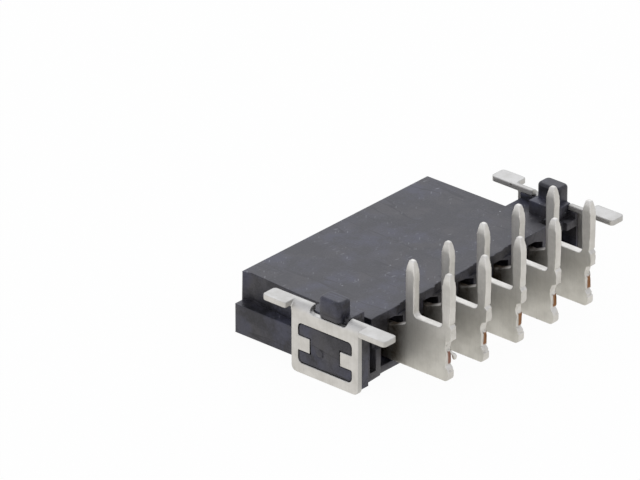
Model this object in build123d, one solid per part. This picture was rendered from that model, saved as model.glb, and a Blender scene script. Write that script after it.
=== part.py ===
from build123d import *
from math import radians, sin, tan
import os

# Right-angle board connector, lying on its flat cover face with the solder legs up.
# Sizes are millimetres. X runs along the row of contacts, +Y is the mating direction,
# and Z is zero on the face that the part lies on. Y is zero halfway between the mating
# face and the rearmost points of the contacts.

# Row of contacts
contact_count = 5
pitch = 2.54
sheet = 0.40
leg_width = 0.50
leg_spacing = 2.20
leg_swell = 0.02
tip_length = 0.62
tip_width = 0.28
tip_thickness = 0.20
tip_bulge = 0.03
tip_ease = 1.60
leg_top = 6.03
web_top = 3.23
web_bottom = 0.52
web_corner = 0.22
neck_top = 2.36
neck_root = 2.70
neck_corner = 0.10
shoulder_proud = 0.10
shoulder_top = 3.46
shoulder_bottom = 2.70
strip_cut_depth = 0.24
strip_cut_top = 2.30
strip_cut_bottom = 1.38
lobe_setback = 0.06
lobe_radius = 0.30
shoulder_round = 0.06

# Fork at the mating end of each contact
fork_recess = 0.70
fork_length = 2.60
fork_height = 1.70
beam_height = 0.50
beam_bump = 0.14
bump_radius = 0.35

# Moulded body; its two ends are measured from the outermost contacts
body_depth = 8.10
body_height = 3.00
ledge_height = 1.50
upper_end = 1.65
lower_end = 2.16
end_rib = 0.18
end_rib_depth = 0.12
end_ease_depth = 3.60
cover_wall = 0.42
floor_wall = 0.43
cover_setback = 0.22
row_setback = 1.06
scallop_depth = 0.12
scallop_width = 1.70

# Rear channels that the contacts leave through
channel_depth = 1.50
channel_left = 0.95
channel_right = 0.85
channel_ceiling = 1.95
throat_left = 0.24
throat_ceiling = 2.58
throat_corner = 0.20
floor_notch = 0.10

# Chambers behind the mating face
chamber_depth = 3.40
chamber_width = 1.30
chamber_height = 2.00
lead_in = 0.18

# Ears, with the pedestals and pegs that meet the board, measured from the outermost contacts too
ear_end = 2.95
ear_depth = 3.44
ear_overhang = 0.23
ear_root = 2.12
slot_end = 1.78
slot_width = 0.43
slot_depth = 0.68
lip_land = 0.04
board_height = 3.64
pedestal_root = 1.87
pedestal_rear = 0.48
pedestal_depth = 1.70
peg_width = 0.89
peg_depth = 1.35
peg_overhang = 0.31
peg_rear = 0.80
peg_height = 0.79
peg_corner = 0.26
peg_round = 0.17

# Stamped hold-downs
plate_sheet = 0.30
plate_depth = 4.10
plate_bottom = 0.03
plate_corner = 0.28
bend_radius = 0.16
window_depth = 3.30
window_height = 2.08
window_sill = 0.56
window_corner = 0.24
tongue_length = 0.72
tongue_height = 0.75
relief_rear = 0.45
relief_depth = 2.25
relief_drop = 0.34
relief_corner = 0.18
flange_width = 0.54
tab_reach = 0.38
front_tab = 1.49
front_neck = 0.04
rear_tab = 1.93
rear_neck = 0.27
tab_corner = 0.20
neck_side_corner = 0.12
boss_setback = 0.03
boss_dimple = 0.22
dimple_sink = 0.06
dimple_forward = 0.30
dimple_drop = 0.28

# Fits between the pieces
contact_fit = 0.03
plate_fit = 0.02
window_fit = 0.05
peg_fit = 0.06

# Lengths of cutters past the faces that they open, of the overlap between cuts that meet,
# and below which two points of an outline are one
cut_beyond = 1.00
cut_overlap = 0.10
same_place = 1e-6

# Places that follow from the sizes above
rear_reach = row_setback + leg_spacing + leg_width / 2 + shoulder_proud
overall_depth = body_depth + rear_reach
y_face = overall_depth / 2
y_floor = y_face - body_depth
y_cover = y_floor + cover_setback
y_leg_front = y_floor - row_setback
y_leg_rear = y_leg_front - leg_spacing
y_leg_edge = y_leg_rear - leg_width / 2
y_ear = y_floor - ear_overhang
y_ear_middle = y_ear + ear_depth / 2
y_plate_front = y_ear_middle + plate_depth / 2
y_plate_rear = y_ear_middle - plate_depth / 2
x_row = (contact_count - 1) / 2 * pitch
x_upper = x_row + upper_end
x_lower = x_row + lower_end
x_ear = x_row + ear_end
x_ear_root = x_row + ear_root
x_slot = x_row + slot_end
x_pedestal = x_row + pedestal_root
x_plate = x_ear + plate_fit
x_plate_outer = x_plate + plate_sheet
flange_inner = x_plate_outer - flange_width
tab_outer = x_plate_outer + tab_reach
z_window = window_sill + window_height / 2
z_flange = board_height - plate_sheet
relief_floor = board_height - relief_drop
peg_top = board_height + peg_height
z_chamber = (web_bottom + neck_top) / 2
contact_xs = [i * pitch - x_row for i in range(contact_count)]


def block(x0, x1, y0, y1, z0, z1):
    """Box between two corners."""
    return Pos((x0 + x1) / 2, (y0 + y1) / 2, (z0 + z1) / 2) * Box(x1 - x0, y1 - y0, z1 - z0)


def rounded_face(corners):
    """Flat face inside a polygon given as (a, b, radius) corners, each rounded by its radius."""
    edges = []
    ends = []
    for index, (a, b, radius) in enumerate(corners):
        corner = Vector(a, b)
        before = (Vector(*corners[index - 1][:2]) - corner).normalized()
        after = (Vector(*corners[(index + 1) % len(corners)][:2]) - corner).normalized()
        start = end = corner
        if radius:
            half_angle = radians(before.get_angle(after) / 2)
            start = corner + before * (radius / tan(half_angle))
            end = corner + after * (radius / tan(half_angle))
            inward = (before + after).normalized()
            middle = corner + inward * (radius / sin(half_angle) - radius)
            edges.append(ThreePointArc(start, middle, end))
        ends.append((start, end))
    for index, (start, _) in enumerate(ends):
        last = ends[index - 1][1]
        if (start - last).length > same_place:
            edges.append(Line(last, start))
    return make_face(edges)


def upper_outline():
    """Plan outline of the narrow upper half: its ends draw in behind a small rib at the face."""
    waist = x_upper - end_rib
    right = [
        (x_upper, y_floor + cover_setback),
        (x_upper, y_face - end_ease_depth),
        (waist, y_face - end_rib_depth - 2 * end_rib),
        (x_upper, y_face - end_rib_depth),
        (x_upper, y_face),
    ]
    left = [(-x, y) for x, y in reversed(right)]
    return right + left


def scallops():
    """Shallow hollows in the rear edge of the cover, one between each two contacts."""
    radius = (scallop_width ** 2 / 4 + scallop_depth ** 2) / (2 * scallop_depth)
    hollows = []
    for x in contact_xs[:-1]:
        centre = Pos(x + pitch / 2, y_cover - radius + scallop_depth, body_height)
        hollows.append(centre * Cylinder(radius, 2 * cover_wall))
    return hollows


def rear_channel(x):
    """Space behind one contact: a low chamber and a taller throat beside the blade."""
    y_end = y_floor + channel_depth
    y_out = y_ear - cut_beyond
    low = block(x - channel_left, x + channel_right, y_out, y_end, floor_wall, channel_ceiling)
    throat = [
        (x - throat_left, floor_wall),
        (x + channel_right, floor_wall),
        (x + channel_right, throat_ceiling - throat_corner),
        (x + throat_left, throat_ceiling),
        (x - throat_left, throat_ceiling),
    ]
    high = extrude(Plane.XZ.offset(-y_end) * make_face(Polyline(*throat, close=True)), y_end - y_out)
    notch = block(x - channel_left, x + channel_right, y_out, y_floor + floor_notch,
                  -cut_beyond, floor_wall + cut_overlap)
    return low + high + notch


def contact_passage(x):
    """Close slot that holds the blade between the rear channel and the front chamber."""
    half = sheet / 2 + contact_fit
    y_rear = y_floor + channel_depth - cut_overlap
    y_front = y_face - chamber_depth + cut_overlap
    return block(x - half, x + half, y_rear, y_front, web_bottom - contact_fit, neck_top + contact_fit)


def front_chamber(x):
    """Chamber for the contact's fork, opening at the mating face through a bevelled mouth."""
    half = chamber_width / 2
    chamber = block(x - half, x + half, y_face - chamber_depth, y_face + cut_beyond,
                    z_chamber - chamber_height / 2, z_chamber + chamber_height / 2)
    mouth_plane = Plane(origin=(x, y_face, z_chamber), x_dir=(1, 0, 0), z_dir=(0, 1, 0))
    wide = mouth_plane * Rectangle(chamber_width + 2 * lead_in, chamber_height + 2 * lead_in)
    narrow = mouth_plane.offset(-lead_in) * Rectangle(chamber_width, chamber_height)
    return chamber + loft([wide, narrow])


def ear():
    """Ear at the +X end: pedestal, oblong peg and the H-shaped boss in the hold-down's window."""
    inner = x_slot - slot_width
    shape = block(inner, x_ear, y_floor, y_ear + ear_depth, 0, body_height)
    shape += block(x_ear_root, x_ear, y_ear, y_floor, 0, body_height)
    lip_inner = x_ear - bend_radius - lip_land
    lip = block(lip_inner, x_ear, y_ear, y_ear + ear_depth, body_height / 2, z_flange - plate_fit)
    shape += fillet(lip.edges().filter_by(Axis.Y).sort_by(Axis.X)[-2:].sort_by(Axis.Z)[-1], bend_radius)
    pedestal = block(x_pedestal, x_ear, y_ear + pedestal_rear, y_ear + pedestal_rear + pedestal_depth,
                     body_height - cover_wall, board_height)
    return shape + pedestal + peg() + boss()


def peg():
    """Locating peg, oblong with a rounded top, standing partly over the hold-down's relief."""
    x_outer = x_ear + peg_overhang
    z_foot = relief_floor + peg_fit
    centre = Pos(x_outer - peg_width / 2, y_ear + peg_rear + peg_depth / 2, z_foot)
    shape = extrude(centre * RectangleRounded(peg_width, peg_depth, peg_corner), peg_top - z_foot)
    return fillet(shape.faces().sort_by(Axis.Z)[-1].edges(), peg_round)


def boss():
    """H-shaped boss that fills the window of the hold-down around its two tongues."""
    depth = window_depth - 2 * window_fit
    height = window_height - 2 * window_fit
    proud = x_plate_outer - boss_setback - x_ear
    side = Plane(origin=(x_ear, y_ear_middle, z_window), x_dir=(0, 1, 0), z_dir=(1, 0, 0))
    face = RectangleRounded(depth, height, window_corner - window_fit)
    notch_depth = tongue_length + window_fit
    notch_height = tongue_height + 2 * window_fit
    for way in (-1, 1):
        centre = way * (window_depth - notch_depth) / 2
        face -= Pos(centre, 0) * Rectangle(notch_depth, notch_height)
    shape = extrude(side * face, proud)
    ball = boss_dimple ** 2 / (2 * dimple_sink) + dimple_sink / 2
    centre = Pos(x_ear + proud + ball - dimple_sink, y_ear_middle + dimple_forward, z_window - dimple_drop)
    return shape - centre * Sphere(ball)


def end_slot():
    """Slot between the row and the +X ear, open to the rear and through the cover."""
    y_end = y_cover + slot_depth
    return block(x_slot - slot_width, x_slot, y_ear - cut_beyond, y_end,
                 floor_wall, body_height + cut_beyond)


def housing():
    """Whole moulding: wide lower half, narrow upper half, ears, channels and chambers."""
    lower = block(-x_lower, x_lower, y_floor, y_face, 0, ledge_height)
    upper = extrude(Pos(0, 0, ledge_height / 2) * make_face(Polyline(*upper_outline(), close=True)),
                    body_height - ledge_height / 2)
    right_ear = ear()
    shape = lower + upper + right_ear + mirror(right_ear, about=Plane.YZ)
    slot = end_slot()
    shape = shape - slot - mirror(slot, about=Plane.YZ)
    for x in contact_xs:
        shape -= rear_channel(x) + contact_passage(x) + front_chamber(x)
    for hollow in scallops():
        shape -= hollow
    return shape


def leg_corners(y, root_front, root_rear):
    """Corners of one solder leg from its front root to its rear root, each with a radius."""
    half = leg_width / 2
    tip = tip_width / 2
    swell_z = leg_top - tip_length
    return [
        (y + half, root_front, 0),
        (y + half + leg_swell, swell_z, tip_ease),
        (y + tip, leg_top, tip / 2),
        (y - tip, leg_top, tip / 2),
        (y - half - leg_swell, swell_z, tip_ease),
        (y - half, root_rear, 0),
    ]


def contact_outline():
    """Side outline of one contact: neck, U-shaped web, two legs and a notched rear edge."""
    half = leg_width / 2
    root = web_top + 2 * web_corner
    edge = y_leg_edge
    cut = edge + strip_cut_depth
    lobe = edge + lobe_setback
    y_tail = y_face - chamber_depth
    corners = [
        (y_tail, web_bottom, 0),
        (y_tail, neck_top, 0),
        (y_floor, neck_top, 0),
        (y_leg_front + half, neck_root, neck_corner),
        *leg_corners(y_leg_front, root, root),
        (y_leg_front - half, web_top, web_corner),
        (y_leg_rear + half, web_top, web_corner),
        *leg_corners(y_leg_rear, root, root),
        (edge, shoulder_top, shoulder_round),
        (edge - shoulder_proud, shoulder_top - shoulder_proud, shoulder_round),
        (edge - shoulder_proud, shoulder_bottom, shoulder_round),
        (cut - shoulder_proud, shoulder_bottom - shoulder_proud, shoulder_round),
        (cut, strip_cut_top, 0),
        (cut, strip_cut_bottom, shoulder_round),
        (lobe, strip_cut_bottom - strip_cut_depth, lobe_radius / 2),
        (lobe, web_bottom, lobe_radius),
    ]
    return rounded_face(corners)


def fork_outline():
    """Side outline of the fork: two beams whose bumps face each other across the gap."""
    y_root = y_face - chamber_depth
    y_tip = y_face - fork_recess
    y_gap = y_tip - fork_length + beam_height
    low = z_chamber - fork_height / 2
    high = z_chamber + fork_height / 2
    tip_round = beam_height / 3
    outer = rounded_face([
        (y_root, low, 0),
        (y_tip, low, tip_round),
        (y_tip, high, tip_round),
        (y_root, high, 0),
    ])
    gap = fork_height - 2 * beam_height
    slot = Pos((y_gap + y_tip) / 2 + gap / 4, z_chamber) * Rectangle(y_tip - y_gap + gap / 2, gap)
    bumps = Sketch()
    for way in (-1, 1):
        y_bump = y_tip - bump_radius
        z_bump = z_chamber + way * (gap / 2 + bump_radius - beam_bump)
        bumps += Pos(y_bump, z_bump) * Circle(bump_radius)
    return outer - slot + bumps


def contact():
    """One stamped contact, centred on its own row position."""
    side = Plane(origin=(-sheet / 2, 0, 0), x_dir=(0, 1, 0), z_dir=(1, 0, 0))
    shape = extrude(side * (contact_outline() + fork_outline()), sheet)
    for way in (-1, 1):
        foot = (way * sheet / 2, leg_top - tip_length)
        end = (way * tip_thickness / 2, leg_top)
        bulge = (way * (sheet + tip_thickness + 4 * tip_bulge) / 4, leg_top - tip_length / 2)
        beyond = Polyline(end, (way * sheet, leg_top), (way * sheet, leg_top - tip_length), foot)
        wedge = make_face([ThreePointArc(foot, bulge, end), *beyond.edges()])
        y_front = y_leg_front + leg_width
        y_rear = y_leg_rear - leg_width
        shape -= extrude(Plane.XZ.offset(-y_front) * wedge, y_front - y_rear)
    return shape


def upright_plate():
    """Upright plate of the hold-down, with the window and its two tongues."""
    side = Plane(origin=(x_plate, 0, 0), x_dir=(0, 1, 0), z_dir=(1, 0, 0))
    outline = rounded_face([
        (y_plate_rear, plate_bottom, plate_corner),
        (y_plate_front, plate_bottom, plate_corner),
        (y_plate_front, z_flange - bend_radius, 0),
        (y_plate_rear, z_flange - bend_radius, 0),
    ])
    window = Pos(y_ear_middle, z_window) * RectangleRounded(window_depth, window_height, window_corner)
    for way in (-1, 1):
        y_tongue = y_ear_middle + way * (window_depth - tongue_length) / 2
        window -= Pos(y_tongue, z_window) * Rectangle(tongue_length, tongue_height)
    return extrude(side * (outline - window), plate_sheet)


def fold():
    """Rounded fold from the upright plate into the flat flange, with a neck before each tab."""
    section = rounded_face([
        (x_plate, z_flange - bend_radius, 0),
        (x_plate_outer, z_flange - bend_radius, 0),
        (x_plate_outer, board_height, bend_radius + plate_sheet),
        (flange_inner, board_height, 0),
        (flange_inner, z_flange, 0),
        (x_plate, z_flange, bend_radius),
    ])
    y_start = y_plate_front + front_neck
    return extrude(Plane.XZ.offset(-y_start) * section, y_start - y_plate_rear + rear_neck)


def tab(y_near, y_end):
    """Flat solder tab between its neck and its free end, wider than the flange."""
    outline = rounded_face([
        (flange_inner, y_near, 0),
        (tab_outer, y_near, neck_side_corner),
        (tab_outer, y_end, tab_corner),
        (flange_inner, y_end, tab_corner),
    ])
    return extrude(Pos(0, 0, z_flange) * outline, plate_sheet)


def hold_down():
    """Hold-down of the +X end, one stamping: plate, fold, relief for the peg and two tabs."""
    shape = upright_plate() + fold()
    shape += tab(y_plate_front + front_neck, y_plate_front + front_tab)
    shape += tab(y_plate_rear - rear_neck, y_plate_rear - rear_tab)
    y_relief = y_ear + relief_rear
    side = Plane(origin=(x_plate, 0, 0), x_dir=(0, 1, 0), z_dir=(1, 0, 0))
    centre = Pos(y_relief + relief_depth / 2, relief_floor + relief_depth / 2)
    rounded = side * centre * RectangleRounded(relief_depth, relief_depth, relief_corner)
    shape -= extrude(rounded, plate_sheet + cut_overlap)
    z_fold = z_flange - bend_radius
    inside = block(flange_inner - cut_beyond, x_plate, y_relief, y_relief + relief_depth,
                   z_fold, board_height + cut_beyond)
    return shape - inside


os.makedirs("parts", exist_ok=True)
export_step(housing(), "parts/housing.step")
blade = contact()
for number, x in enumerate(contact_xs, start=1):
    export_step(Pos(x, 0, 0) * blade, f"parts/power_contact_{number}.step")
right = hold_down()
export_step(right, "parts/hold_down_right.step")
export_step(mirror(right, about=Plane.YZ), "parts/hold_down_left.step")
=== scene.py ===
import math

import bpy
from bpy.props import FloatProperty, FloatVectorProperty, IntProperty, PointerProperty
from bpy.types import Operator, Panel, PropertyGroup
from mathutils import Matrix, Vector


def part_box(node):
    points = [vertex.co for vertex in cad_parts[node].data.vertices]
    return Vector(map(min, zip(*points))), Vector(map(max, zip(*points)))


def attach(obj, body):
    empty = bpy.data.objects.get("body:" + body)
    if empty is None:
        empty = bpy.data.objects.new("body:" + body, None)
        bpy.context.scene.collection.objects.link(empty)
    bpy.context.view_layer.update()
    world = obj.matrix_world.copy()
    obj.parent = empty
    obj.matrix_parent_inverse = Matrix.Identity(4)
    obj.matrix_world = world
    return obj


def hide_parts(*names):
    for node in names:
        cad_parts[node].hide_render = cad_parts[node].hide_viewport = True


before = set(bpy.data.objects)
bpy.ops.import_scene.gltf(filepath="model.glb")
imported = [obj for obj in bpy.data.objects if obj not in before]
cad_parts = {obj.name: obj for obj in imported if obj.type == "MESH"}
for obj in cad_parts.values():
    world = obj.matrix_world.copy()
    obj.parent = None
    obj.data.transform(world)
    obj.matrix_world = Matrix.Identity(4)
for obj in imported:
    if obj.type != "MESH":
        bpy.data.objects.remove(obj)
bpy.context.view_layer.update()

bl_info = {
    "name": "Right-angle board connector",
    "version": (1, 0, 0),
    "blender": (4, 5, 0),
    "location": "3D View > Sidebar > Connector",
    "description": "Dresses the packed connector: moulded body, tin-plated contacts and hold-downs",
    "category": "Object",
}

MM = 0.001
CONTACTS = [f"power_contact_{number}" for number in range(1, 6)]
HOLD_DOWNS = ["hold_down_left", "hold_down_right"]

# Places and lengths are in metres. Places along x and y are measured from the boxes of the CAD nodes.
ROW_LOW, ROW_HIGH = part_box(CONTACTS[0])
LAST_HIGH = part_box(CONTACTS[-1])[1]
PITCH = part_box(CONTACTS[1])[0].x - ROW_LOW.x
BODY_LOW, BODY_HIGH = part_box("housing")
SLACK = 0.02 * MM

# Merging, smoothing and rounding of the copied CAD shapes.
MERGE_GAP = 0.001 * MM
FLAT_ANGLE = math.radians(0.3)
SMOOTH_ANGLE = math.radians(50)
SHARP_ANGLE = math.radians(32)
SLIVER_ANGLE = math.radians(10)
EDGE_SEGMENTS = 3
CORNER_TIMES = 3

# Far end of the body: the waist that moves out and the rear pocket of the ear.
WAIST = Vector((LAST_HIGH.x + 1.27 * MM, BODY_HIGH.y - 0.48 * MM))
WAIST_STEP = 0.18 * MM
POCKET_LOW = Vector((LAST_HIGH.x + 1.52 * MM, BODY_LOW.y - 0.20 * MM, 0.43 * MM))
POCKET_HIGH = Vector((LAST_HIGH.x + 2.65 * MM, BODY_LOW.y + 1.30 * MM, 2.58 * MM))

# Ragged rear edges of cover and floor.
UPPER_END = LAST_HIGH.x + 1.45 * MM
COVER_TOP = 3.00 * MM
REAR_EDGE = BODY_LOW.y + 0.60 * MM
FLASH_END = UPPER_END - 0.20 * MM
FLASH_CUTS = 3
FLASH_GRAIN = 0.30 * MM
FLASH_DEPTH = 0.11 * MM

# Moulding mark on each boss: a low dome of three rings.
NUB = Vector((BODY_HIGH.x - 0.055 * MM, BODY_LOW.y + 2.04 * MM, 1.42 * MM))
NUB_RADIUS = 0.19 * MM
NUB_DEPTH = 0.10 * MM
NUB_RING = 0.05 * MM
NUB_RISES = (0.035 * MM, 0.020 * MM, 0.008 * MM)

# Rear edge of each blade: the proud shoulder, the strip cut and the torn metal round it.
SHOULDER = 0.10 * MM
STRIP_CUT = 0.24 * MM
CUT_Y = ROW_LOW.y + SHOULDER + STRIP_CUT
CUT_REACH = 0.08 * MM
CUT_STEP = 0.07 * MM
COPPER_LOW, COPPER_HIGH = 1.38 * MM, 2.06 * MM
COPPER_FADE = 0.06 * MM
COPPER_GONE, COPPER_WHOLE = CUT_Y + 0.12 * MM, CUT_Y + 0.08 * MM
SMEAR_WHOLE, SMEAR_GONE = -0.09 * MM, -0.04 * MM
TARNISH_START, TARNISH_WHOLE = BODY_LOW.y - 0.75 * MM, BODY_LOW.y + 0.05 * MM
TORN_LOW, TORN_HIGH = 1.05 * MM, 3.55 * MM
TORN_REACH = 0.06 * MM
TORN_GRAIN = 0.22 * MM
TORN_LEVEL = 0.1

# Solder legs start here, and the painted light on them, a lighter tin colour, fades in over this length on
# both sides.
LEG_ROOT = 3.20 * MM
LEG_LIGHT_FADE = 0.60 * MM

# Curl of metal behind the first cut: its root, and how each further step moves and grows.
BURR = Vector((ROW_HIGH.x - 0.03 * MM, CUT_Y + 0.02 * MM, 1.96 * MM))
BURR_SIZE = 0.16 * MM
BURR_STEPS = (
    (Vector((0.10, -0.11, -0.04)) * MM, 1.5),
    (Vector((0.03, -0.03, -0.16)) * MM, 1.1),
    (Vector((-0.02, 0.01, -0.15)) * MM, 0.6),
)

# The photograph's view: a long lens, turned 49 degrees from the rear and raised 27 degrees.
CAMERA_TURN = math.radians(-48.78)
CAMERA_RISE = math.radians(26.79)
CAMERA_AIM = Vector((-7.642, 0.140, 6.891)) * MM
CAMERA_DISTANCE_IN_MM = 332.54
CAMERA_LENS = 405.6
SENSOR_WIDTH = 36
CLIP_START, CLIP_END = 0.01, 20

# Two square soft boxes: a broad one high behind the part and a smaller one on the contacts' side.
KEY_PLACE = Vector((0.24, 0.22, 0.32))
KEY_SIZE = 0.32
KEY_COLOUR = (0.97, 0.985, 1.0)
SIDE_PLACE = Vector((-0.30, -0.28, 0.20))
SIDE_SIZE = 0.20
SIDE_COLOUR = (1.0, 0.99, 0.97)
LAMP_AIM = Vector((0, 0, 2 * MM))

# The floor lies just under the part, and this share of what is seen of it is plain white.
FLOOR_GAP = 0.02 * MM
FLOOR_WHITE = 0.96
WHITE = (1, 1, 1, 1)


def linear(code):
    """Linear colour of an sRGB hex value, with full alpha."""
    parts = [int(code[i:i + 2], 16) / 255 for i in (1, 3, 5)]
    return [c / 12.92 if c <= 0.04045 else ((c + 0.055) / 1.055) ** 2.4 for c in parts] + [1.0]


def per_mm(size):
    """Texture scale at which a pattern repeats every given number of millimetres."""
    return 1 / (size * MM)


def add(tree, kind, inputs, **settings):
    """Adds one shader node with its settings, its plain values and its links."""
    node = tree.nodes.new(kind)
    for name, value in settings.items():
        setattr(node, name, value)
    for socket, value in inputs.items():
        if isinstance(value, bpy.types.NodeSocket):
            tree.links.new(value, node.inputs[socket])
        else:
            node.inputs[socket].default_value = value
    return node


class BodyFinish(PropertyGroup):
    """Sizes and colours of the moulding."""

    colour: FloatVectorProperty(
        name="Colour", description="Colour of the black polymer",
        subtype="COLOR", size=4, min=0, max=1, default=linear("#0e0e11"))
    patch_colour: FloatVectorProperty(
        name="Patch colour",
        description="Colour of the cool patches where the filler lies close to the skin",
        subtype="COLOR", size=4, min=0, max=1, default=linear("#3a3b49"))
    warm_patch_colour: FloatVectorProperty(
        name="Warm patch colour", description="Colour of the warmer ones among these patches",
        subtype="COLOR", size=4, min=0, max=1, default=linear("#3a3839"))
    line_colour: FloatVectorProperty(
        name="Flow line colour", description="Colour of the thin flow lines along the mating direction",
        subtype="COLOR", size=4, min=0, max=1, default=linear("#050506"))
    grain_colour: FloatVectorProperty(
        name="Grain colour", description="Colour of the fine grain of the skin",
        subtype="COLOR", size=4, min=0, max=1, default=linear("#6a6a74"))
    fibre_colour: FloatVectorProperty(
        name="Fibre colour", description="Colour of the glass fibres that show at the skin",
        subtype="COLOR", size=4, min=0, max=1, default=linear("#b9bac2"))
    patch_size: FloatProperty(
        name="Patch size", description="Size of the patches, in millimetres", default=1.6, min=0.2, max=10)
    edge_round: FloatProperty(
        name="Edge rounding", description="Rounding of the moulding's outer edges",
        default=0.04 * MM, min=0, max=0.2 * MM, unit="LENGTH", precision=6)


class PlatingFinish(PropertyGroup):
    """Sizes and colours of the plated stampings."""

    face_colour: FloatVectorProperty(
        name="Face colour", description="Colour of the tin on the rolled faces of the contacts",
        subtype="COLOR", size=4, min=0, max=1, default=linear("#d4d2cb"))
    # Painted highlight: the contacts' cut edges are painted a little lighter than their faces of the same
    # tin.
    edge_shading_colour: FloatVectorProperty(
        name="Edge colour", description="Colour of the tin on the contacts' cut edges",
        subtype="COLOR", size=4, min=0, max=1, default=linear("#d5d3ce"))
    # Painted light: the solder legs are painted in a lighter tin than the rest, in place of the light they
    # catch.
    lit_leg_colour: FloatVectorProperty(
        name="Leg colour", description="Colour of the tin on the contacts' solder legs",
        subtype="COLOR", size=4, min=0, max=1, default=linear("#e9e7e2"))
    hold_down_colour: FloatVectorProperty(
        name="Hold-down colour", description="Colour of the tin on the hold-downs' upright faces",
        subtype="COLOR", size=4, min=0, max=1, default=linear("#d5d3cf"))
    # Painted shade: the hold-downs' tabs, fold and cut edges are painted darker than their upright faces of
    # the same tin.
    shaded_tab_colour: FloatVectorProperty(
        name="Tab colour", description="Colour of the tin on the hold-downs' tabs, fold and cut edges",
        subtype="COLOR", size=4, min=0, max=1, default=linear("#bfbebb"))
    cloud_colour: FloatVectorProperty(
        name="Cloud colour", description="Colour of the greyer clouds in the tin",
        subtype="COLOR", size=4, min=0, max=1, default=linear("#a9a69e"))
    rolling_colour: FloatVectorProperty(
        name="Rolling line colour", description="Colour of the faint lines that rolling leaves",
        subtype="COLOR", size=4, min=0, max=1, default=linear("#8f8c85"))
    pore_colour: FloatVectorProperty(
        name="Pore colour", description="Colour of the small pores in the tin",
        subtype="COLOR", size=4, min=0, max=1, default=linear("#77736b"))
    tarnish_colour: FloatVectorProperty(
        name="Tarnish colour", description="Colour of the contacts' necks beside the body",
        subtype="COLOR", size=4, min=0, max=1, default=linear("#5a5044"))
    copper_colour: FloatVectorProperty(
        name="Copper colour", description="Colour of the bare copper where the carrier strip was cut off",
        subtype="COLOR", size=4, min=0, max=1, default=linear("#8f6a5c"))
    aged_copper_colour: FloatVectorProperty(
        name="Aged copper colour", description="Colour of the bare copper on the farther contacts",
        subtype="COLOR", size=4, min=0, max=1, default=linear("#8a6446"))
    tear: FloatProperty(
        name="Torn edges", description="Depth of the torn edge beside the strip cuts",
        default=0.12 * MM, min=0, max=0.2 * MM, unit="LENGTH", precision=6)
    face_size: FloatProperty(
        name="Face size", description="Size of the even faces that the stampings are smoothed with",
        default=0.03 * MM, min=0.02 * MM, max=0.1 * MM, unit="LENGTH", precision=6)
    softness: IntProperty(
        name="Softness", description="Rounds of smoothing over edges and necks", default=5, min=0, max=60)
    kept_faces: FloatProperty(
        name="Kept faces", description="Share of the faces that stays after thinning", default=0.3,
        min=0.05, max=1, subtype="FACTOR")


class StageSettings(PropertyGroup):
    """Light, room and floor."""

    key_power: FloatProperty(
        name="Key lamp", description="Power of the broad lamp high behind the part",
        default=0.31, min=0, unit="POWER")
    side_power: FloatProperty(
        name="Side lamp", description="Power of the lamp on the contacts' side",
        default=0.12, min=0, unit="POWER")
    ambient: FloatProperty(
        name="Ambient", description="Strength of the room's light on the object", default=0.72, min=0, max=2)
    room_colour: FloatVectorProperty(
        name="Room colour", description="Colour of the room's light on the object",
        subtype="COLOR", size=4, min=0, max=1, default=(0.97, 0.985, 1.0, 1.0))
    room_glow: FloatVectorProperty(
        name="Room in reflections", description="Colour in which the room shows in the part's upper faces",
        subtype="COLOR", size=4, min=0, max=1, default=linear("#f8f9ff"))
    floor_size: FloatProperty(
        name="Floor", description="Side of the square floor", default=4.0, min=0.1, unit="LENGTH")
    floor_colour: FloatVectorProperty(
        name="Floor colour", description="Colour of the paper floor",
        subtype="COLOR", size=4, min=0, max=1, default=linear("#ffffff"))
    floor_glow: FloatVectorProperty(
        name="Floor in reflections", description="Colour in which the warm paper shows in the part's sides",
        subtype="COLOR", size=4, min=0, max=1, default=linear("#fdfbf8"))


def only(*pieces):
    """Deselects everything, then selects the pieces and makes the first one active."""
    bpy.ops.object.select_all(action="DESELECT")
    for piece in pieces:
        piece.select_set(True)
    bpy.context.view_layer.objects.active = pieces[0]


def select(piece, kind, keep):
    """Leaves the piece in edit mode with the faces or vertices selected whose place passes the test."""
    only(piece)
    bpy.ops.object.mode_set(mode="EDIT")
    bpy.ops.mesh.select_mode(type=kind)
    bpy.ops.mesh.select_all(action="DESELECT")
    bpy.ops.object.mode_set(mode="OBJECT")
    items = piece.data.polygons if kind == "FACE" else piece.data.vertices
    for item in items:
        item.select = keep(item.center if kind == "FACE" else item.co)
    bpy.ops.object.mode_set(mode="EDIT")


def keep_as_group(piece, name):
    """Keeps the selected points as a vertex group and leaves edit mode."""
    bpy.ops.object.vertex_group_add()
    piece.vertex_groups.active.name = name
    bpy.ops.object.vertex_group_assign()
    bpy.ops.object.mode_set(mode="OBJECT")


def apply(piece, kind, name, **settings):
    """Adds one modifier with its settings and applies it."""
    only(piece)
    modifier = piece.modifiers.new(name, kind)
    for setting, value in settings.items():
        setattr(modifier, setting, value)
    bpy.ops.object.modifier_apply(modifier=name)


def cloud_texture(name, grain):
    """Cloudy texture of one grain size, for ragged and torn edges."""
    texture = bpy.data.textures.new(name, "CLOUDS")
    texture.noise_scale = grain
    return texture


def merged_copy(node, name):
    """Copy of a CAD node, its loose triangles merged into flat faces."""
    piece = bpy.data.objects.new(name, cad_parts[node].data.copy())
    bpy.context.scene.collection.objects.link(piece)
    only(piece)
    bpy.ops.mesh.customdata_custom_splitnormals_clear()
    bpy.ops.object.mode_set(mode="EDIT")
    bpy.ops.mesh.select_all(action="SELECT")
    bpy.ops.mesh.remove_doubles(threshold=MERGE_GAP)
    bpy.ops.mesh.dissolve_limited(angle_limit=FLAT_ANGLE)
    bpy.ops.object.mode_set(mode="OBJECT")
    return piece


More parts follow.
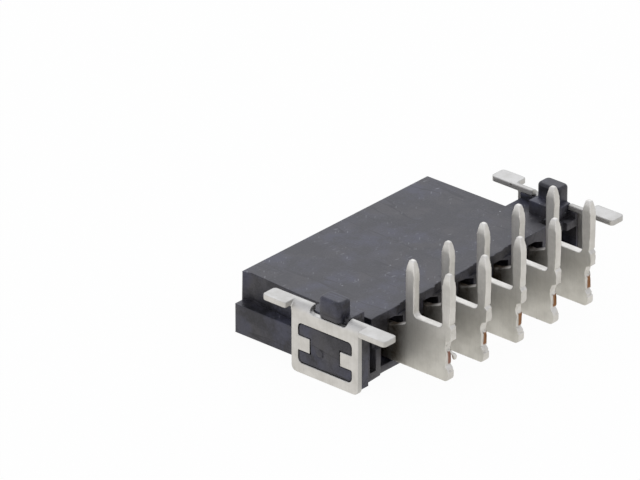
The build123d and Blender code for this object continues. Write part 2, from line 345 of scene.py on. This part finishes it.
def finish_shape(piece, material):
    """Smooths the piece's shading, gives it its material and slot and lets it ride on the body."""
    only(piece)
    bpy.ops.object.transform_apply(location=True, rotation=True, scale=True)
    apply(piece, "TRIANGULATE", "No wide faces", ngon_method="BEAUTY")
    bpy.ops.object.shade_smooth_by_angle(angle=SMOOTH_ANGLE)
    apply(piece, "WEIGHTED_NORMAL", "Flat faces stay flat", keep_sharp=True)
    piece.data.materials.clear()
    piece.data.materials.append(material)
    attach(piece, "root")


def mark_edges(mesh, rounder):
    """Marks the outer edges for rounding, apart from short ones that run close beside another.

    An edge whose ends pass the test gets the whole rounding, and the others a third of it.
    """
    sides = {}
    for face in mesh.polygons:
        for key in face.edge_keys:
            sides.setdefault(key, []).append(face)
    marked = set()
    meeting = {}
    for edge in mesh.edges:
        pair = sides.get(tuple(sorted(edge.vertices)), [])
        if len(pair) != 2 or pair[0].normal.angle(pair[1].normal) < SHARP_ANGLE:
            continue
        inner = (pair[1].center - pair[0].center).dot(pair[0].normal) > 0
        if inner:
            continue
        marked.add(edge.index)
        for corner in edge.vertices:
            meeting.setdefault(corner, []).append(edge)
    for corner, edges in meeting.items():
        here = mesh.vertices[corner].co
        ways = [(mesh.vertices[sum(edge.vertices) - corner].co - here, edge.index) for edge in edges]
        for way, index in ways:
            if any(way.length < other.length and way.angle(other) < SLIVER_ANGLE for other, _ in ways):
                marked.discard(index)
    weights = mesh.attributes.new("bevel_weight_edge", "FLOAT", "EDGE")
    for index in marked:
        start, end = (mesh.vertices[corner].co for corner in mesh.edges[index].vertices)
        weights.data[index].value = 1.0 if rounder(start, end) else 1 / CORNER_TIMES


def round_edges(piece, rounding, rounder):
    """Softly rounded outer edges, as moulding leaves them, three times as round where the test says so."""
    mark_edges(piece.data, rounder)
    apply(piece, "BEVEL", "Edge rounding", limit_method="WEIGHT", width=CORNER_TIMES * rounding,
          segments=EDGE_SEGMENTS, use_clamp_overlap=False, loop_slide=False, miter_outer="MITER_SHARP")


def soften(piece, finish):
    """Even faces of one size, smoothed so that edges and necks run softly, then thinned out where flat."""
    apply(piece, "REMESH", "Even faces", mode="VOXEL", voxel_size=finish.face_size)
    apply(piece, "SMOOTH", "Soft edges", factor=0.5, iterations=finish.softness)
    apply(piece, "DECIMATE", "Fewer flat faces", ratio=finish.kept_faces)


def cleared_tree(owner):
    """Empty node tree of a material or a world."""
    owner.use_nodes = True
    owner.node_tree.nodes.clear()
    return owner.node_tree


def new_material(name):
    """Empty node material with its surface shader; returns the material, its tree and the shader."""
    material = bpy.data.materials.new(name)
    tree = cleared_tree(material)
    shader = add(tree, "ShaderNodeBsdfPrincipled", {})
    add(tree, "ShaderNodeOutputMaterial", {"Surface": shader.outputs["BSDF"]})
    return material, tree, shader


def backdrop(tree, glow):
    """Tone of a white backdrop, and the rays that see it.

    The camera sees it white and reflections see the given tone. It is seen by the camera, in
    reflections and through clear materials.
    """
    path = add(tree, "ShaderNodeLightPath", {}).outputs
    tone = add(tree, "ShaderNodeMix", {0: path["Is Camera Ray"], 6: glow, 7: WHITE}, data_type="RGBA")
    seen = path["Is Camera Ray"]
    for ray in ("Is Glossy Ray", "Is Transmission Ray"):
        seen = add(tree, "ShaderNodeMath", {0: seen, 1: path[ray]}, operation="MAXIMUM").outputs[0]
    return tone.outputs[2], seen


def specks(tree, place, cell, reach, share, turn, stretch):
    """Mask of small specks: a cell size in millimetres, the part of a cell that a speck reaches,
    the share of cells that have one, how the specks are turned, and how they are stretched along
    their own axes."""
    turned = add(tree, "ShaderNodeMapping", {"Vector": place, "Rotation": turn, "Scale": stretch},
                 vector_type="TEXTURE")
    cells = add(tree, "ShaderNodeTexVoronoi", {"Vector": turned.outputs["Vector"], "Scale": per_mm(cell)})
    near = add(tree, "ShaderNodeMapRange", {
        "Value": cells.outputs["Distance"], "From Min": reach / 2, "From Max": reach,
        "To Min": 1.0, "To Max": 0.0})
    pick = add(tree, "ShaderNodeSeparateColor", {"Color": cells.outputs["Color"]}).outputs["Red"]
    bright = add(tree, "ShaderNodeMapRange", {
        "Value": pick, "From Min": 1 - share, "From Max": 1.0, "To Min": 0.3, "To Max": 1.0})
    present = add(tree, "ShaderNodeMath", {0: pick, 1: 1 - share}, operation="GREATER_THAN")
    mask = near.outputs["Result"]
    for factor in (bright.outputs["Result"], present.outputs["Value"]):
        mask = add(tree, "ShaderNodeMath", {0: mask, 1: factor}, operation="MULTIPLY").outputs["Value"]
    return mask


def moulded_glass_filled_polymer(finish):
    """Black glass-filled polymer, injection moulded.

    It gives the eye a matt grey-black skin with a cool cast, cloudy patches, a few thin dark flow
    lines along the mating direction, short pale fibres under the skin and bright fibre ends.
    """
    material, tree, shader = new_material("moulded_glass_filled_polymer")
    place = add(tree, "ShaderNodeTexCoord", {}).outputs["Object"]
    normal = add(tree, "ShaderNodeNewGeometry", {}).outputs["Normal"]
    facing_up = add(tree, "ShaderNodeSeparateXYZ", {"Vector": normal}).outputs["Z"]

    # Cloudy patches of paler skin, about one and a half millimetres across, some cooler, some warmer.
    patches = add(tree, "ShaderNodeTexNoise", {
        "Vector": place, "Scale": per_mm(finish.patch_size), "Detail": 5.0, "Roughness": 0.66})
    patch_share = add(tree, "ShaderNodeMapRange", {
        "Value": patches.outputs["Fac"], "From Min": 0.41, "From Max": 0.60})
    tints = add(tree, "ShaderNodeTexNoise", {
        "Vector": place, "Scale": per_mm(1.4 * finish.patch_size), "Detail": 3.0, "Roughness": 0.5,
        "Distortion": 0.4})
    tint_share = add(tree, "ShaderNodeMapRange", {
        "Value": tints.outputs["Fac"], "From Min": 0.42, "From Max": 0.58})
    paler = add(tree, "ShaderNodeMix", {
        0: tint_share.outputs["Result"], 6: finish.warm_patch_colour, 7: finish.patch_colour},
        data_type="RGBA")
    skin = add(tree, "ShaderNodeMix", {
        0: patch_share.outputs["Result"], 6: finish.colour, 7: paler.outputs[2]}, data_type="RGBA")

    # Flow lines: thin contours of a noise drawn out along the mating direction, dark and far apart.
    along = add(tree, "ShaderNodeMapping", {"Vector": place, "Scale": (1, 0.12, 1)})
    flow = add(tree, "ShaderNodeTexNoise", {
        "Vector": along.outputs["Vector"], "Scale": per_mm(1.1), "Detail": 2.0, "Roughness": 0.4})
    off_line = add(tree, "ShaderNodeMath", {0: flow.outputs["Fac"], 1: 0.5}, operation="SUBTRACT")
    distance = add(tree, "ShaderNodeMath", {0: off_line.outputs["Value"]}, operation="ABSOLUTE")
    line_share = add(tree, "ShaderNodeMapRange", {
        "Value": distance.outputs["Value"], "From Min": 0.003, "From Max": 0.016,
        "To Min": 0.85, "To Max": 0.0})
    flowed = add(tree, "ShaderNodeMix", {
        0: line_share.outputs["Result"], 6: skin.outputs[2], 7: finish.line_colour}, data_type="RGBA")

    # Fine grain of 0.1 mm, coarser than the real one so that it shows.
    grain = add(tree, "ShaderNodeTexNoise", {
        "Vector": place, "Scale": per_mm(0.10), "Detail": 2.0, "Roughness": 0.6})
    grain_share = add(tree, "ShaderNodeMapRange", {
        "Value": grain.outputs["Fac"], "From Min": 0.4, "From Max": 0.75, "To Min": 0.0, "To Max": 0.10})
    grained = add(tree, "ShaderNodeMix", {
        0: grain_share.outputs["Result"], 6: flowed.outputs[2], 7: finish.grain_colour}, data_type="RGBA")

    # Short pale fibres under the skin, in two directions and mostly in the paler patches, drawn
    # only on faces that point up. They are 0.3 mm long and about 0.1 mm wide, several times as
    # wide as real glass fibres, so that they show.
    some = specks(tree, place, 0.25, 0.30, 0.34, (0, 0, math.radians(38)), (2.2, 0.6, 1))
    others = specks(tree, place, 0.31, 0.28, 0.30, (0, 0, math.radians(-14)), (1.9, 0.6, 1))
    fibres = add(tree, "ShaderNodeMath", {0: some, 1: others}, operation="MAXIMUM").outputs["Value"]
    for factor in (patch_share.outputs["Result"], facing_up, 0.30):
        fibres = add(tree, "ShaderNodeMath", {0: fibres, 1: factor}, operation="MULTIPLY").outputs["Value"]
    fibred = add(tree, "ShaderNodeMix", {
        0: fibres, 6: grained.outputs[2], 7: finish.fibre_colour}, data_type="RGBA")

    # Bright fibre ends, far apart. At 0.1 mm they are larger than the real ones, so that they show.
    ends = specks(tree, place, 0.50, 0.10, 0.09, (0.3, 0.2, 0.5), (1, 1.2, 1))
    coloured = add(tree, "ShaderNodeMix", {
        0: ends, 6: fibred.outputs[2], 7: finish.fibre_colour}, data_type="RGBA")

    rough = add(tree, "ShaderNodeMapRange", {
        "Value": patches.outputs["Fac"], "From Min": 0.3, "From Max": 0.7, "To Min": 0.38, "To Max": 0.48})
    bump = add(tree, "ShaderNodeBump", {
        "Height": grain.outputs["Fac"], "Strength": 0.5, "Distance": 0.012 * MM})
    tree.links.new(coloured.outputs[2], shader.inputs["Base Color"])
    tree.links.new(rough.outputs["Result"], shader.inputs["Roughness"])
    tree.links.new(bump.outputs["Normal"], shader.inputs["Normal"])
    shader.inputs["IOR"].default_value = 1.54
    shader.inputs["Specular Tint"].default_value = (0.90, 0.89, 0.98, 1.0)
    return material


def matt_tin_plating(name, finish, face_colour, edge_shading_colour, on_contact):
    """Matt tin, electroplated over a rolled and stamped copper alloy.

    It gives the eye a soft warm grey with faint rolling lines, greyer clouds and a few dark pores.
    Light and shade are painted in by facing: cut edges and level faces get another colour than the
    rolled upright faces, a painted highlight on the contacts and painted shade on the hold-downs.
    On the contacts the legs are painted lighter as painted light, the necks are tarnished brown
    beside the body, and bare copper shows only where the carrier strip was cut off.
    """
    material, tree, shader = new_material(name)
    place = add(tree, "ShaderNodeTexCoord", {}).outputs["Object"]
    x, y, z = add(tree, "ShaderNodeSeparateXYZ", {"Vector": place}).outputs
    normal = add(tree, "ShaderNodeNewGeometry", {}).outputs["Normal"]
    facing = add(tree, "ShaderNodeSeparateXYZ", {"Vector": normal}).outputs
    # Painted light and shade by facing: faces that point across get the face colour, all others the edge
    # shading colour, which is lighter on the contacts and darker on the hold-downs.
    across = add(tree, "ShaderNodeMath", {0: facing["X"]}, operation="ABSOLUTE")
    painted_facing_share = add(tree, "ShaderNodeMapRange", {
        "Value": across.outputs["Value"], "From Min": 0.6, "From Max": 0.97})

    if on_contact:
        # Painted light: the tin turns lighter up the solder legs.
        up = add(tree, "ShaderNodeMapRange", {
            "Value": z, "From Min": LEG_ROOT - LEG_LIGHT_FADE, "From Max": LEG_ROOT + LEG_LIGHT_FADE})
        face_colour = add(tree, "ShaderNodeMix", {
            0: up.outputs["Result"], 6: face_colour, 7: finish.lit_leg_colour}, data_type="RGBA").outputs[2]
    plated = add(tree, "ShaderNodeMix", {
        0: painted_facing_share.outputs["Result"], 6: edge_shading_colour, 7: face_colour}, data_type="RGBA")

    # Clouds in the plating, just under a millimetre across.
    clouds = add(tree, "ShaderNodeTexNoise", {
        "Vector": place, "Scale": per_mm(0.8), "Detail": 4.0, "Roughness": 0.62})
    cloud_share = add(tree, "ShaderNodeMapRange", {
        "Value": clouds.outputs["Fac"], "From Min": 0.4, "From Max": 0.66, "To Min": 0.0, "To Max": 0.3})
    clouded = add(tree, "ShaderNodeMix", {
        0: cloud_share.outputs["Result"], 6: plated.outputs[2], 7: finish.cloud_colour}, data_type="RGBA")

    # Rolling lines of 0.05 mm, drawn at 0.08 mm so that they show.
    drawn = add(tree, "ShaderNodeMapping", {"Vector": place, "Scale": (1, 1, 0.06)})
    lines = add(tree, "ShaderNodeTexNoise", {
        "Vector": drawn.outputs["Vector"], "Scale": per_mm(0.08), "Detail": 2.0, "Roughness": 0.5})
    line_share = add(tree, "ShaderNodeMapRange", {
        "Value": lines.outputs["Fac"], "From Min": 0.5, "From Max": 0.75, "To Min": 0.0, "To Max": 0.10})
    lined = add(tree, "ShaderNodeMix", {
        0: line_share.outputs["Result"], 6: clouded.outputs[2], 7: finish.rolling_colour},
        data_type="RGBA")

    # Dark pores of about 0.1 mm, a few on each piece.
    pores = specks(tree, place, 0.6, 0.12, 0.12, (0, 0, 0), (1, 1, 1))
    colour = add(tree, "ShaderNodeMix", {
        0: pores, 6: lined.outputs[2], 7: finish.pore_colour}, data_type="RGBA").outputs[2]

    if on_contact:
        # Brown tarnish on the neck, where the tin stops short of the body.
        close = add(tree, "ShaderNodeMapRange", {
            "Value": y, "From Min": TARNISH_START, "From Max": TARNISH_WHOLE})
        blotch = add(tree, "ShaderNodeMapRange", {
            "Value": clouds.outputs["Fac"], "From Min": 0.3, "From Max": 0.6,
            "To Min": 0.45, "To Max": 1.0})
        tarnish = add(tree, "ShaderNodeMath", {
            0: close.outputs["Result"], 1: blotch.outputs["Result"]}, operation="MULTIPLY")
        tarnished = add(tree, "ShaderNodeMix", {
            0: tarnish.outputs["Value"], 6: colour, 7: finish.tarnish_colour}, data_type="RGBA")

        # Bare copper between two heights, on faces that point back and lie close to the cut. The
        # strip was cut from the near side, so tin is smeared over the near third of each cut.
        own_x = add(tree, "ShaderNodeMath", {0: x, 1: -PITCH / 2, 2: PITCH / 2}, operation="WRAP")
        bare = add(tree, "ShaderNodeMapRange", {
            "Value": own_x.outputs["Value"], "From Min": SMEAR_WHOLE, "From Max": SMEAR_GONE}).outputs[0]
        for value, gone, whole in (
                (z, COPPER_LOW, COPPER_LOW + COPPER_FADE),
                (z, COPPER_HIGH, COPPER_HIGH - COPPER_FADE),
                (y, COPPER_GONE, COPPER_WHOLE),
                (facing["Y"], -0.05, -0.25)):
            limit = add(tree, "ShaderNodeMapRange", {
                "Value": value, "From Min": gone, "From Max": whole}).outputs["Result"]
            bare = add(tree, "ShaderNodeMath", {0: bare, 1: limit}, operation="MULTIPLY").outputs["Value"]

        # The first cut is the freshest one, and the copper of the others has gone browner.
        aged = add(tree, "ShaderNodeMapRange", {
            "Value": x, "From Min": ROW_HIGH.x, "From Max": ROW_HIGH.x + PITCH})
        copper = add(tree, "ShaderNodeMix", {
            0: aged.outputs["Result"], 6: finish.copper_colour, 7: finish.aged_copper_colour},
            data_type="RGBA")
        colour = add(tree, "ShaderNodeMix", {
            0: bare, 6: tarnished.outputs[2], 7: copper.outputs[2]}, data_type="RGBA").outputs[2]

    rough = add(tree, "ShaderNodeMapRange", {
        "Value": clouds.outputs["Fac"], "From Min": 0.3, "From Max": 0.7, "To Min": 0.46, "To Max": 0.56})
    bump = add(tree, "ShaderNodeBump", {
        "Height": lines.outputs["Fac"], "Strength": 0.25, "Distance": 0.006 * MM})
    tree.links.new(colour, shader.inputs["Base Color"])
    tree.links.new(rough.outputs["Result"], shader.inputs["Roughness"])
    tree.links.new(bump.outputs["Normal"], shader.inputs["Normal"])
    shader.inputs["Metallic"].default_value = 1.0
    return material


class CONNECTOR_OT_body(Operator):
    """Dresses the moulding: rounded edges, ragged rear edges, moulding marks and its polymer"""

    bl_idname = "connector.body"
    bl_label = "Moulded body"

    def execute(self, context):
        finish = context.scene.connector_body
        material = moulded_glass_filled_polymer(finish)
        piece = merged_copy("housing", "moulded_body")
        self.straighten_far_end(piece)
        self.open_far_ear(piece)
        self.roughen_rear_edges(piece)
        round_edges(piece, finish.edge_round, self.at_mating_corner)
        finish_shape(piece, material)
        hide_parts("housing")
        for name, way in (("moulding_nub_left", -1), ("moulding_nub_right", 1)):
            finish_shape(self.nub(name, way), material)
        return {"FINISHED"}

    def straighten_far_end(self, piece):
        """Moves the waist of the far end out, where the moulding shows none."""
        select(piece, "VERT", lambda place: (place.xy - WAIST).length < WAIST_STEP / 4)
        bpy.ops.transform.translate(value=(WAIST_STEP, 0, 0))
        bpy.ops.object.mode_set(mode="OBJECT")

    def open_far_ear(self, piece):
        """Cuts the deep rear pocket of the far ear, under its top wall."""
        bpy.ops.object.select_all(action="DESELECT")
        bpy.ops.mesh.primitive_cube_add(
            size=1, location=(POCKET_LOW + POCKET_HIGH) / 2, scale=POCKET_HIGH - POCKET_LOW)
        cutter = bpy.context.view_layer.objects.active
        apply(piece, "BOOLEAN", "Far pocket", operation="DIFFERENCE", object=cutter, solver="EXACT")
        bpy.data.objects.remove(cutter)

    def roughen_rear_edges(self, piece):
        """Leaves the rear edges of cover and floor slightly ragged, as thin flash does."""
        def at_edge(place):
            outside = place.z < SLACK or place.z > COVER_TOP - SLACK
            return outside and abs(place.x) < FLASH_END and place.y < REAR_EDGE
        select(piece, "VERT", at_edge)
        bpy.ops.mesh.subdivide(number_cuts=FLASH_CUTS)
        keep_as_group(piece, "rear_edges")
        apply(piece, "DISPLACE", "Ragged edges", texture=cloud_texture("flash", FLASH_GRAIN),
              direction="Y", mid_level=0.0, vertex_group="rear_edges", strength=FLASH_DEPTH)

    def at_mating_corner(self, start, end):
        """Tells whether an edge is one of the upright corners of the mating face."""
        upright = abs(start.z - end.z) > (start.xy - end.xy).length
        return upright and min(start.y, end.y) > BODY_HIGH.y - SLACK and abs(start.x) > UPPER_END - SLACK

    def nub(self, name, way):
        """Low dome that the mould leaves on the boss: a disc with its outer face drawn in and raised."""
        place = Vector((NUB.x * way, NUB.y, NUB.z))
        bpy.ops.object.select_all(action="DESELECT")
        bpy.ops.mesh.primitive_cylinder_add(
            vertices=28, radius=NUB_RADIUS, depth=NUB_DEPTH, location=place,
            rotation=(0, math.radians(90), 0))
        piece = bpy.context.view_layer.objects.active
        piece.name = name
        bpy.ops.object.transform_apply(location=True, rotation=True, scale=True)
        select(piece, "FACE", lambda middle: (middle.x - place.x) * way > NUB_DEPTH / 2 - SLACK)
        for rise in NUB_RISES:
            bpy.ops.mesh.inset(thickness=NUB_RING)
            bpy.ops.transform.translate(value=(rise * way, 0, 0))
        bpy.ops.object.mode_set(mode="OBJECT")
        return piece


class CONNECTOR_OT_contacts(Operator):
    """Dresses one contact, copies it along the row and tears the rear edge of each"""

    bl_idname = "connector.contacts"
    bl_label = "Contacts"

    def execute(self, context):
        finish = context.scene.connector_plating
        material = matt_tin_plating(
            "matt_tin_on_contacts", finish, finish.face_colour, finish.edge_shading_colour, on_contact=True)
        torn_metal = cloud_texture("torn_metal", TORN_GRAIN)
        first = merged_copy(CONTACTS[0], "blade_1")
        soften(first, finish)
        self.set_out_cut(first)
        self.mark_torn_edge(first)
        for blade, node in zip(self.row(context, first), CONTACTS):
            only(blade)
            bpy.ops.object.transform_apply(location=True, rotation=True, scale=True)
            apply(blade, "DISPLACE", "Torn edge", texture=torn_metal, direction="Y",
                  mid_level=TORN_LEVEL, vertex_group="torn_edge", strength=finish.tear)
            finish_shape(blade, material)
            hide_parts(node)
        plain_tin = matt_tin_plating(
            "matt_tin_on_burr", finish, finish.face_colour, finish.edge_shading_colour, on_contact=False)
        finish_shape(self.burr(), plain_tin)
        return {"FINISHED"}

    def set_out_cut(self, blade):
        """Moves the face of the strip cut a little out."""
        select(blade, "VERT",
               lambda place: place.y < CUT_Y + CUT_REACH and COPPER_LOW < place.z < COPPER_HIGH)
        bpy.ops.transform.translate(value=(0, -CUT_STEP, 0))
        bpy.ops.object.mode_set(mode="OBJECT")

    def mark_torn_edge(self, blade):
        """Groups the points of the rear edge, where shoulder, strip cut and foot were sheared."""
        select(blade, "VERT", lambda place: place.y < CUT_Y + TORN_REACH and TORN_LOW < place.z < TORN_HIGH)
        keep_as_group(blade, "torn_edge")

    def row(self, context, first):
        """The first blade and its copies, each at its contact's place."""
        blades = [first]
        for number, node in enumerate(CONTACTS[1:], start=2):
            only(first)
            bpy.ops.object.duplicate()
            blade = context.view_layer.objects.active
            blade.name = f"blade_{number}"
            blade.location.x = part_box(node)[0].x - ROW_LOW.x
            blades.append(blade)
        return blades

    def burr(self):
        """Curl of metal left hanging behind the first strip cut: a short strip drawn out in steps."""
        bpy.ops.object.select_all(action="DESELECT")
        bpy.ops.mesh.primitive_cube_add(size=BURR_SIZE, location=BURR)
        piece = bpy.context.view_layer.objects.active
        piece.name = "strip_burr"
        bpy.ops.object.transform_apply(location=True, rotation=True, scale=True)
        select(piece, "FACE", lambda middle: middle.z < BURR.z - BURR_SIZE / 2 + SLACK)
        for step, growth in BURR_STEPS:
            bpy.ops.mesh.extrude_region_move(TRANSFORM_OT_translate={"value": step})
            bpy.ops.transform.resize(value=(growth, growth, growth))
        bpy.ops.object.mode_set(mode="OBJECT")
        apply(piece, "SUBSURF", "Soft curl", levels=2, render_levels=2)
        return piece


class CONNECTOR_OT_hold_downs(Operator):
    """Dresses the two stamped hold-downs"""

    bl_idname = "connector.hold_downs"
    bl_label = "Hold-downs"

    def execute(self, context):
        finish = context.scene.connector_plating
        material = matt_tin_plating(
            "matt_tin_on_hold_downs", finish, finish.hold_down_colour, finish.shaded_tab_colour,
            on_contact=False)
        for node in HOLD_DOWNS:
            piece = merged_copy(node, node.replace("hold_down", "bracket"))
            soften(piece, finish)
            finish_shape(piece, material)
            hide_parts(node)
        return {"FINISHED"}


class CONNECTOR_OT_stage(Operator):
    """Makes the camera, the paper floor, the room's light and the lamps"""

    bl_idname = "connector.stage"
    bl_label = "Stage"

    def execute(self, context):
        settings = context.scene.connector_stage
        self.camera(context)
        self.floor(settings)
        self.room(context, settings)
        self.lamp(context, "key_lamp", KEY_PLACE, KEY_SIZE, settings.key_power, KEY_COLOUR)
        self.lamp(context, "side_lamp", SIDE_PLACE, SIDE_SIZE, settings.side_power, SIDE_COLOUR)
        context.scene.view_settings.view_transform = "Standard"
        return {"FINISHED"}

    def camera(self, context):
        """Camera at the photograph's view."""
        data = bpy.data.cameras.new("camera")
        data.sensor_width = SENSOR_WIDTH
        data.sensor_fit = "HORIZONTAL"
        data.lens = CAMERA_LENS
        data.clip_start = CLIP_START
        data.clip_end = CLIP_END
        camera = bpy.data.objects.new("camera", data)
        context.scene.collection.objects.link(camera)
        level = math.cos(CAMERA_RISE)
        back = Vector((
            math.sin(CAMERA_TURN) * level, -math.cos(CAMERA_TURN) * level, math.sin(CAMERA_RISE)))
        right = Vector((math.cos(CAMERA_TURN), math.sin(CAMERA_TURN), 0))
        turned = Matrix((right, back.cross(right), back)).transposed().to_4x4()
        place = CAMERA_AIM + back * CAMERA_DISTANCE_IN_MM * MM
        camera.matrix_world = Matrix.Translation(place) @ turned
        context.scene.camera = camera

    def floor(self, settings):
        """White paper that keeps the object's shadow and shows white in the picture and in the metal."""
        bpy.ops.object.select_all(action="DESELECT")
        bpy.ops.mesh.primitive_plane_add(size=settings.floor_size, location=(0, 0, -FLOOR_GAP))
        floor = bpy.context.view_layer.objects.active
        floor.name = "floor"
        material = bpy.data.materials.new("white_paper")
        tree = cleared_tree(material)
        tone, seen = backdrop(tree, settings.floor_glow)
        share = add(tree, "ShaderNodeMath", {0: seen, 1: FLOOR_WHITE}, operation="MULTIPLY")
        paper = add(tree, "ShaderNodeBsdfDiffuse", {"Color": settings.floor_colour})
        white = add(tree, "ShaderNodeEmission", {"Color": tone, "Strength": 1.0})
        both = add(tree, "ShaderNodeMixShader", {
            0: share.outputs["Value"], 1: paper.outputs["BSDF"], 2: white.outputs["Emission"]})
        add(tree, "ShaderNodeOutputMaterial", {"Surface": both.outputs["Shader"]})
        floor.data.materials.append(material)

    def room(self, context, settings):
        """Soft room: white to the camera, a cool white in reflections, dimmer as light on the object."""
        world = bpy.data.worlds.new("white_room")
        tree = cleared_tree(world)
        tone, seen = backdrop(tree, settings.room_glow)
        light = add(tree, "ShaderNodeBackground", {
            "Color": settings.room_colour, "Strength": settings.ambient})
        white = add(tree, "ShaderNodeBackground", {"Color": tone, "Strength": 1.0})
        both = add(tree, "ShaderNodeMixShader", {
            0: seen, 1: light.outputs["Background"], 2: white.outputs["Background"]})
        add(tree, "ShaderNodeOutputWorld", {"Surface": both.outputs["Shader"]})
        context.scene.world = world

    def lamp(self, context, name, place, size, power, colour):
        """A square soft box that faces the object."""
        data = bpy.data.lights.new(name, "AREA")
        data.shape = "SQUARE"
        data.size = size
        data.energy = power
        data.color = colour
        lamp = bpy.data.objects.new(name, data)
        context.scene.collection.objects.link(lamp)
        lamp.location = place
        lamp.rotation_mode = "QUATERNION"
        lamp.rotation_quaternion = (LAMP_AIM - place).to_track_quat("-Z", "Y")


class CONNECTOR_PT_panel(Panel):
    """Buttons for each group of pieces and for the stage, with their settings"""

    bl_idname = "CONNECTOR_PT_panel"
    bl_label = "Connector"
    bl_space_type = "VIEW_3D"
    bl_region_type = "UI"
    bl_category = "Connector"

    def draw(self, context):
        scene = context.scene
        for operator in OPERATORS:
            self.layout.operator(operator.bl_idname)
        for settings in (scene.connector_body, scene.connector_plating, scene.connector_stage):
            box = self.layout.box()
            for name in settings.__annotations__:
                box.prop(settings, name)


OPERATORS = (CONNECTOR_OT_body, CONNECTOR_OT_contacts, CONNECTOR_OT_hold_downs, CONNECTOR_OT_stage)
CLASSES = (BodyFinish, PlatingFinish, StageSettings, *OPERATORS, CONNECTOR_PT_panel)


def register():
    for item in CLASSES:
        bpy.utils.register_class(item)
    bpy.types.Scene.connector_body = PointerProperty(type=BodyFinish)
    bpy.types.Scene.connector_plating = PointerProperty(type=PlatingFinish)
    bpy.types.Scene.connector_stage = PointerProperty(type=StageSettings)


def unregister():
    del bpy.types.Scene.connector_stage
    del bpy.types.Scene.connector_plating
    del bpy.types.Scene.connector_body
    for item in reversed(CLASSES):
        bpy.utils.unregister_class(item)


def main():
    register()
    bpy.ops.connector.body()
    bpy.ops.connector.contacts()
    bpy.ops.connector.hold_downs()
    bpy.ops.connector.stage()


if __name__ == "__main__":
    main()
